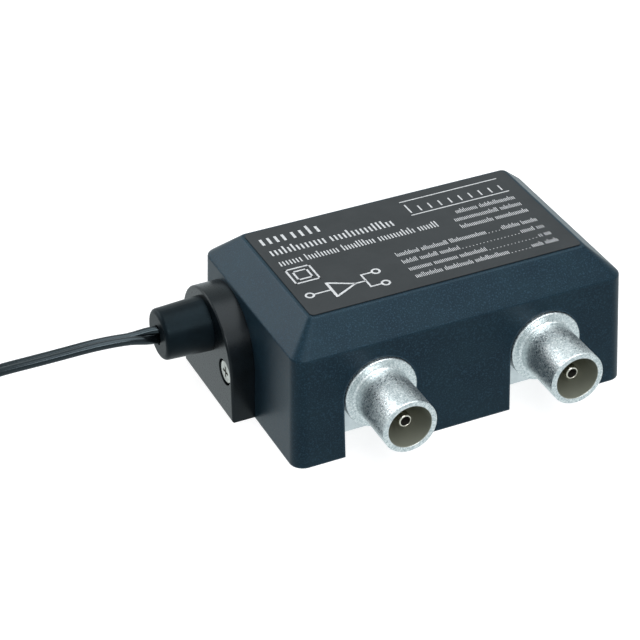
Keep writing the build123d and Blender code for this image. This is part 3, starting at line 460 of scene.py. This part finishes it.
# the same plating on the sockets' rougher skin: it sparkles from grain to grain
nickel_plated_zinc = finish("nickel_plated_zinc", "#bcc6c9", "#f3f6f6", 0.37, metal=1.0, mottle=0.45,
                            tooth=0.3, depth=0.055, swing=0.20, edge=0.15)

# each bore's axis in millimetres from the cover's middle and the table, and what is left in
# it of the plating's metal and of its peel, which fade out over a ring just past its wall
bore_side, bore_lift = 19.1, 13.7
bore_metal, bore_peel = 0.35, 0.08
fade_out, fade_in = 0.1, 0.04


def shaded_bore(made, radius, colour, rough):
    """Leave a finish's bores smooth, dull and only half metallic within a radius, with a darker colour
    painted on their walls as shade.
    """
    tree = made.node_tree
    shader = tree.nodes["Principled BSDF"]
    spot = add(tree, "ShaderNodeTexCoord")
    parts_of = add(tree, "ShaderNodeSeparateXYZ", Vector=spot.outputs["Object"])
    side = add(tree, "ShaderNodeMath", {"operation": "SUBTRACT"}, s0=parts_of.outputs["X"], s1=STEP.x * MM)
    side = add(tree, "ShaderNodeMath", {"operation": "ABSOLUTE"}, s0=side.outputs[0])
    side = add(tree, "ShaderNodeMath", {"operation": "SUBTRACT"}, s0=side.outputs[0], s1=bore_side * MM)
    lift = add(tree, "ShaderNodeMath", {"operation": "SUBTRACT"}, s0=parts_of.outputs["Z"],
               s1=bore_lift * MM)
    off_axis = add(tree, "ShaderNodeCombineXYZ", X=side.outputs[0], Z=lift.outputs[0])
    reach = add(tree, "ShaderNodeVectorMath", {"operation": "LENGTH"}, s0=off_axis.outputs[0])
    inside = add(tree, "ShaderNodeMapRange", Value=reach.outputs["Value"],
                 From_Min=(radius + fade_out) * MM, From_Max=(radius + fade_in) * MM).outputs["Result"]
    outer_colour = shader.inputs["Base Color"].links[0].from_socket
    outer_rough = shader.inputs["Roughness"].links[0].from_socket
    shaded_colour = add(tree, "ShaderNodeMix", {"data_type": "RGBA"}, s0=inside, s6=outer_colour, s7=linear(colour))
    smoothed = add(tree, "ShaderNodeMix", s0=inside, s2=outer_rough, s3=rough)
    bare = add(tree, "ShaderNodeMapRange", Value=inside, To_Min=1.0, To_Max=bore_metal)
    peel = add(tree, "ShaderNodeMapRange", Value=inside, To_Min=1.0, To_Max=bore_peel)
    tree.links.new(shaded_colour.outputs[2], shader.inputs["Base Color"])
    tree.links.new(smoothed.outputs[0], shader.inputs["Roughness"])
    tree.links.new(bare.outputs["Result"], shader.inputs["Metallic"])
    tree.links.new(peel.outputs["Result"], tree.nodes["Bump"].inputs["Strength"])


# the sockets' bore walls: a darker olive-grey painted on as shade
shaded_bore(nickel_plated_zinc, 4.75, "#979a8d", 0.42)
wear(nickel_plated_zinc, "output_socket_left", "output_socket_right")

# Contacts
# Turned and slit brass tubes with a smooth silver plating, brighter than the casting,
# each with the small bore that takes the plug's pin, painted dark grey inside as shade.

# turned brass under silver: smooth and warm white, with the sharpest highlights here
silver_plated_brass = finish("silver_plated_brass", "#cfcabc", "#ece8dc", 0.20, metal=1.0, mottle=1.5,
                             tooth=0.2, depth=0.003, swing=0.05)
wear(silver_plated_brass, "output_contact_left", "output_contact_right", "input_pin")
# the contacts' bores: a dark grey painted on as the shade in the hole
shaded_bore(silver_plated_brass, 1.0, "#3f3e3a", 0.5)

# Insulators
# Natural moulded plugs that hold the contacts in the middle of the bores. Deep in the
# bore they look olive-grey.

# natural polyethylene: waxy, with a broad weak shine
natural_polyethylene = finish("natural_polyethylene", "#9d9a80", "#aeaa90", 0.5, mottle=2.0, tooth=0.3,
                              depth=0.006, ior=1.51)
wear(natural_polyethylene, "output_insulator_left", "output_insulator_right", "input_insulator")

# Cable entry block
# A round-topped block in the case's plastic, screwed on from outside. It came from
# another tool, with a blacker and finer surface than the case.

# the same ABS off a finer tool: a thin smooth shine, which only a slanting look brings out
fine_textured_abs = finish("fine_textured_abs", "#04080b", "#091015", 0.30, mottle=5.0, tooth=0.22,
                           depth=0.01, swing=0.06, ior=1.54, gloss=0.08, edge=0.35, sheen="#cfe9f6",
                           coat=0.32)
wear(fine_textured_abs, "cable_entry_block")

# Bush
# The black strain relief moulded round the flex. It is softer and smoother than the
# case, so its end ring carries one clean highlight.

# soft moulded PVC: blue-black and satin, with a wide highlight along its round edge
soft_pvc = finish("soft_pvc", "#060b0f", "#0b1318", 0.38, mottle=4.0, tooth=0.3, depth=0.006,
                  swing=0.05, ior=1.53, gloss=0.13, edge=0.3, sheen="#bfe2f2")
wear(soft_pvc, "strain_relief")

# Circuit board
# Brown paper laminate with a faint fibre pattern, sawn to size and cut out to clear the
# cover's posts. Four screws hold it down on them.

# pressed phenolic paper: brown and half matt, clouded along the way the paper ran
phenolic_paper = finish("phenolic_paper", "#6b5528", "#7d6632", 0.5, mottle=1.6, tooth=0.2, depth=0.005,
                        ior=1.6, stretch=(1, 4, 1))
wear(phenolic_paper, "circuit_board")

# Mains transformer
# Stacked steel sheets with dark cut edges, a pale moulded bobbin, and a copper winding
# under yellow tape. A fibre sheet keeps the mains side apart from the signal side.

# punched silicon steel: dull grey, finely ruled across the stack with dark cut edges
stacked_silicon_steel = finish("stacked_silicon_steel", "#4b4a47", "#6a6965", 0.42, metal=0.8, mottle=0.6,
                               tooth=0.35, depth=0.02, stretch=(0.2, 4, 0.2))
# moulded polyamide: off-white and a little waxy
moulded_polyamide = finish("moulded_polyamide", "#d2ccb8", "#dfdac8", 0.5, mottle=3.0, tooth=0.3,
                           depth=0.006, ior=1.53)
# polyester tape over wire: yellow and glossy, with the turns of wire ribbing it
polyester_tape = finish("polyester_tape", "#b08d22", "#c8a534", 0.35, mottle=2.2, tooth=0.6, depth=0.02,
                        ior=1.64, stretch=(0.3, 0.3, 3))
# pressed fibre sheet: pale, matt and fuzzy
pressed_fibre = finish("pressed_fibre", "#b9b6a8", "#c9c6b9", 0.6, mottle=1.0, tooth=0.2, depth=0.01)
wear(stacked_silicon_steel, "transformer_core")
wear(moulded_polyamide, "transformer_bobbin")
wear(polyester_tape, "transformer_winding")
wear(pressed_fibre, "mains_barrier")

# Small parts on the board
# Black moulded diodes, regulator and chip, lacquered resistors and fuse, an aluminium
# can, ceramic trimmers and chip capacitors, each with its own maker's finish.

# moulded epoxy: near black and matt, as the release wax leaves it
moulded_epoxy = finish("moulded_epoxy", "#131313", "#1c1c1c", 0.5, mottle=1.5, tooth=0.2, depth=0.006,
                       ior=1.55)
# dipped lacquers: smooth and wet-looking, beige on the resistors and green on the fuse
beige_lacquer = finish("beige_lacquer", "#a98f62", "#bda377", 0.3, mottle=1.0, tooth=0.4, depth=0.004,
                       ior=1.52)
green_lacquer = finish("green_lacquer", "#1f5a37", "#2b6c45", 0.3, mottle=1.0, tooth=0.4, depth=0.004,
                       ior=1.52)
# deep-drawn aluminium: grey metal, its marks drawn out along the can
drawn_aluminium = finish("drawn_aluminium", "#8d8f91", "#a6a8aa", 0.3, metal=1.0, mottle=2.0, tooth=0.2,
                         depth=0.004, stretch=(1, 1, 0.2))
# fired ceramics: dry and matt, with a fine grain
trimmer_ceramic = finish("trimmer_ceramic", "#9a6436", "#ad7746", 0.55, mottle=1.0, tooth=0.2,
                         depth=0.006, ior=1.7)
chip_ceramic = finish("chip_ceramic", "#87694a", "#967858", 0.55, mottle=0.6, tooth=0.15, depth=0.004,
                      ior=1.7)
wear(moulded_epoxy, "rectifier_diodes", "voltage_regulator", "amplifier_chip")
wear(beige_lacquer, "resistors")
wear(green_lacquer, "mains_fuse")
wear(drawn_aluminium, "smoothing_capacitor")
wear(trimmer_ceramic, "trimmer_capacitors")
wear(chip_ceramic, "surface_capacitors")

# Splitter, screen and inner leads
# A dull sintered ferrite ring with enamelled copper round it, and a tinned steel can
# over the amplifier stage, pierced with cooling holes. The flex's two cores run on inside
# to the board.

# sintered ferrite: charcoal and dull, with a sandy grain
sintered_ferrite = finish("sintered_ferrite", "#232326", "#2e2e31", 0.6, mottle=0.8, tooth=0.25, depth=0.01)
# enamelled copper wire: deep orange metal under clear lacquer
enamelled_copper = finish("enamelled_copper", "#8e4a1e", "#b0642e", 0.3, metal=1.0, mottle=0.8, tooth=0.3,
                          depth=0.02)
# hot-tinned sheet: soft grey metal with slow cloudy patches
tinned_steel = finish("tinned_steel", "#a9aaa8", "#c0c1bf", 0.32, metal=1.0, mottle=3.0, tooth=0.25,
                      depth=0.005)
wear(sintered_ferrite, "splitter_core")
wear(enamelled_copper, "splitter_winding")
wear(tinned_steel, "amplifier_screen")
wear(extruded_pvc, "inner_leads")

# Mains plug
# A flat black two-pin plug moulded on the flex, with bright pins sleeved in black for
# the half next to the body. A plastic-coated wire ties the coil.

# moulded PVC: black and satin, fine enough to look smooth
moulded_pvc = finish("moulded_pvc", "#0e1012", "#15181b", 0.42, mottle=5.0, tooth=0.3, depth=0.01,
                     swing=0.06, ior=1.53, edge=0.4)
# polyamide sleeves: a shade blacker and smoother than the plug
black_polyamide = finish("black_polyamide", "#121314", "#18191a", 0.4, mottle=2.0, tooth=0.3, depth=0.004,
                         ior=1.53)
# turned brass under nickel: clear highlights, with faint marks along the pins
nickel_plated_brass = finish("nickel_plated_brass", "#c3c2bd", "#dcdbd6", 0.2, metal=1.0, mottle=2.0,
                             tooth=0.25, depth=0.003, swing=0.05, stretch=(0.3, 1, 1))
# PVC over wire: black and satin, with soft edges
coated_wire = finish("coated_wire", "#141516", "#1d1e20", 0.4, mottle=2.0, tooth=0.3, depth=0.006,
                     ior=1.53, edge=0.15)
wear(moulded_pvc, "mains_plug")
wear(black_polyamide, "pin_sleeves")
wear(nickel_plated_brass, "plug_pins")
wear(coated_wire, "cord_tie")

# the ribs that let the plug's tail bend, each a round bead about the square tail, from
# the first at the flex to the widest next to the plug's body
tail_mesh = bpy.data.meshes.new("tail_line")
tail_mesh.from_pydata([at(-164.0, 18.0, 6.85)], [], [])
tail_mesh.materials.append(moulded_pvc)
ribs_tree, given = node_tree("tail_ribs", {
    "Ribs": "Int", "Pitch": "Vector", "First width": "Float", "Growth": "Float", "Corner": "Float",
    "Bead": "Float", "Plastic": "Material"})
spread = add(ribs_tree, "GeometryNodeMeshLine", {"mode": "OFFSET"}, Count=given["Ribs"],
             Offset=given["Pitch"])
order = add(ribs_tree, "GeometryNodeInputIndex")
wider = add(ribs_tree, "ShaderNodeMath", {"operation": "MULTIPLY_ADD"}, s0=order.outputs[0],
            s1=given["Growth"], s2=1.0)
loop = add(ribs_tree, "GeometryNodeCurvePrimitiveQuadrilateral", Width=given["First width"],
           Height=given["First width"])
eased = add(ribs_tree, "GeometryNodeFilletCurve", {"mode": "POLY"}, Curve=loop.outputs[0],
            Radius=given["Corner"], Count=6)
bead = add(ribs_tree, "GeometryNodeCurvePrimitiveCircle", Resolution=12, Radius=given["Bead"])
rib = add(ribs_tree, "GeometryNodeCurveToMesh", Curve=eased.outputs[0], Profile_Curve=bead.outputs[0])
ribs = add(ribs_tree, "GeometryNodeInstanceOnPoints", Points=spread.outputs[0], Instance=rib.outputs[0],
           Rotation=(0, pi / 2, 0), Scale=wider.outputs[0])
start_at = add(ribs_tree, "GeometryNodeInputPosition")
placed = add(ribs_tree, "GeometryNodeSampleIndex", {"data_type": "FLOAT_VECTOR"}, Geometry=given["Geometry"],
             Value=start_at.outputs[0], Index=0)
moved = add(ribs_tree, "GeometryNodeTransform", Geometry=ribs.outputs[0], Translation=placed.outputs[0])
real = add(ribs_tree, "GeometryNodeRealizeInstances", Geometry=moved.outputs[0])
coated = add(ribs_tree, "GeometryNodeSetMaterial", Geometry=real.outputs[0], Material=given["Plastic"])
add(ribs_tree, "NodeGroupOutput", Geometry=coated.outputs[0])
tail_ribs = grow("tail_ribs", tail_mesh, ribs_tree, {
    "Ribs": 4, "Pitch": (-1.8 * MM, 0.0, 0.0), "First width": 6.5 * MM, "Growth": 0.055, "Corner": 1.4 * MM,
    "Bead": 0.45 * MM, "Plastic": moulded_pvc})
tail_ribs.data.shade_smooth()
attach(tail_ribs, "root")


# Floor and light
# A wide white paper floor that keeps a faint contact shadow, in a studio that is bright
# behind and dimmer in front, so the walls that face the camera stay deep in tone.
def split_rays(tree, way, front, rear, front_share, mirror_kind, lit, seen, output):
    """Show one shader behind the part, and light the part by another.

    What its shine mirrors has full strength from rear on, and a share of it up to front.
    """
    rays = add(tree, "ShaderNodeLightPath")
    spot = add(tree, "ShaderNodeTexCoord")
    parts_of = add(tree, "ShaderNodeSeparateXYZ", Vector=spot.outputs[way])
    depth_of = add(tree, "ShaderNodeMapRange", Value=parts_of.outputs["Y"], From_Min=front, From_Max=rear,
                   To_Min=front_share, To_Max=1.0)
    mirrored = add(tree, mirror_kind, Color=linear("#ecf7f9"), Strength=depth_of.outputs["Result"])
    plain = add(tree, "ShaderNodeMixShader", s0=rays.outputs["Is Glossy Ray"], s1=lit.outputs[0],
                s2=mirrored.outputs[0])
    through = add(tree, "ShaderNodeMath", {"operation": "MAXIMUM"}, s0=rays.outputs["Is Camera Ray"],
                  s1=rays.outputs["Is Transmission Ray"])
    whole = add(tree, "ShaderNodeMixShader", s0=through.outputs[0], s1=plain.outputs[0], s2=seen.outputs[0])
    tree.links.new(whole.outputs[0], tree.nodes[output].inputs["Surface"])


floor_half = 3.0
sheet = bpy.data.meshes.new("studio_floor")
sheet.from_pydata([Vector((x, y, 0)) * floor_half for x, y in ((-1, -1), (1, -1), (1, 1), (-1, 1))],
                  [], [(0, 1, 2, 3)])
studio_floor = show("studio_floor", sheet)
# matt white paper: it takes a faint shadow, and a little of its glow keeps it white
studio_paper = bpy.data.materials.new("studio_paper")
studio_paper.use_nodes = True
paint = studio_paper.node_tree
paint.nodes.remove(paint.nodes["Principled BSDF"])
shadowed = add(paint, "ShaderNodeBsdfDiffuse", Color=linear("#b0b0b0"))
glow = add(paint, "ShaderNodeEmission", Color=linear("#ffffff"), Strength=0.78)
seen_floor = add(paint, "ShaderNodeAddShader", s0=shadowed.outputs[0], s1=glow.outputs[0])
bounce = add(paint, "ShaderNodeBsdfDiffuse", Color=linear("#a8abae"))
split_rays(paint, "Object", front=-0.10, rear=0.12, front_share=0.9, mirror_kind="ShaderNodeEmission",
           lit=bounce, seen=seen_floor, output="Material Output")
sheet.materials.append(studio_paper)

sky = bpy.data.worlds.new("studio_air")
sky.use_nodes = True
bpy.context.scene.world = sky
air = sky.node_tree
dim = air.nodes["Background"]
dim.inputs["Color"].default_value = linear("#f0f5fa")
dim.inputs["Strength"].default_value = 0.36
white = add(air, "ShaderNodeBackground", Color=linear("#ffffff"), Strength=1.0)
split_rays(air, "Generated", front=-0.55, rear=0.45, front_share=0.55,
           mirror_kind="ShaderNodeBackground", lit=dim, seen=white, output="World Output")

lit_point = Vector((0, 0, 0.015))


def lamp(name, place, width, height, power):
    """A soft box at a place in metres, turned to the part."""
    light = bpy.data.lights.new(name, "AREA")
    light.shape = "RECTANGLE"
    light.size, light.size_y, light.energy = width, height, power
    facing = (Vector(place) - lit_point).to_track_quat("Z", "Y").to_matrix().to_4x4()
    show(name, light).matrix_world = Matrix.Translation(place) @ facing


lamp("left_softbox", (-0.60, 0.75, 0.60), 0.8, 0.6, 4.0)
lamp("high_softbox", (0.20, -0.15, 0.95), 1.0, 0.9, 7.0)
lamp("front_softbox", (-0.10, -0.90, 0.75), 0.7, 0.35, 5.0)
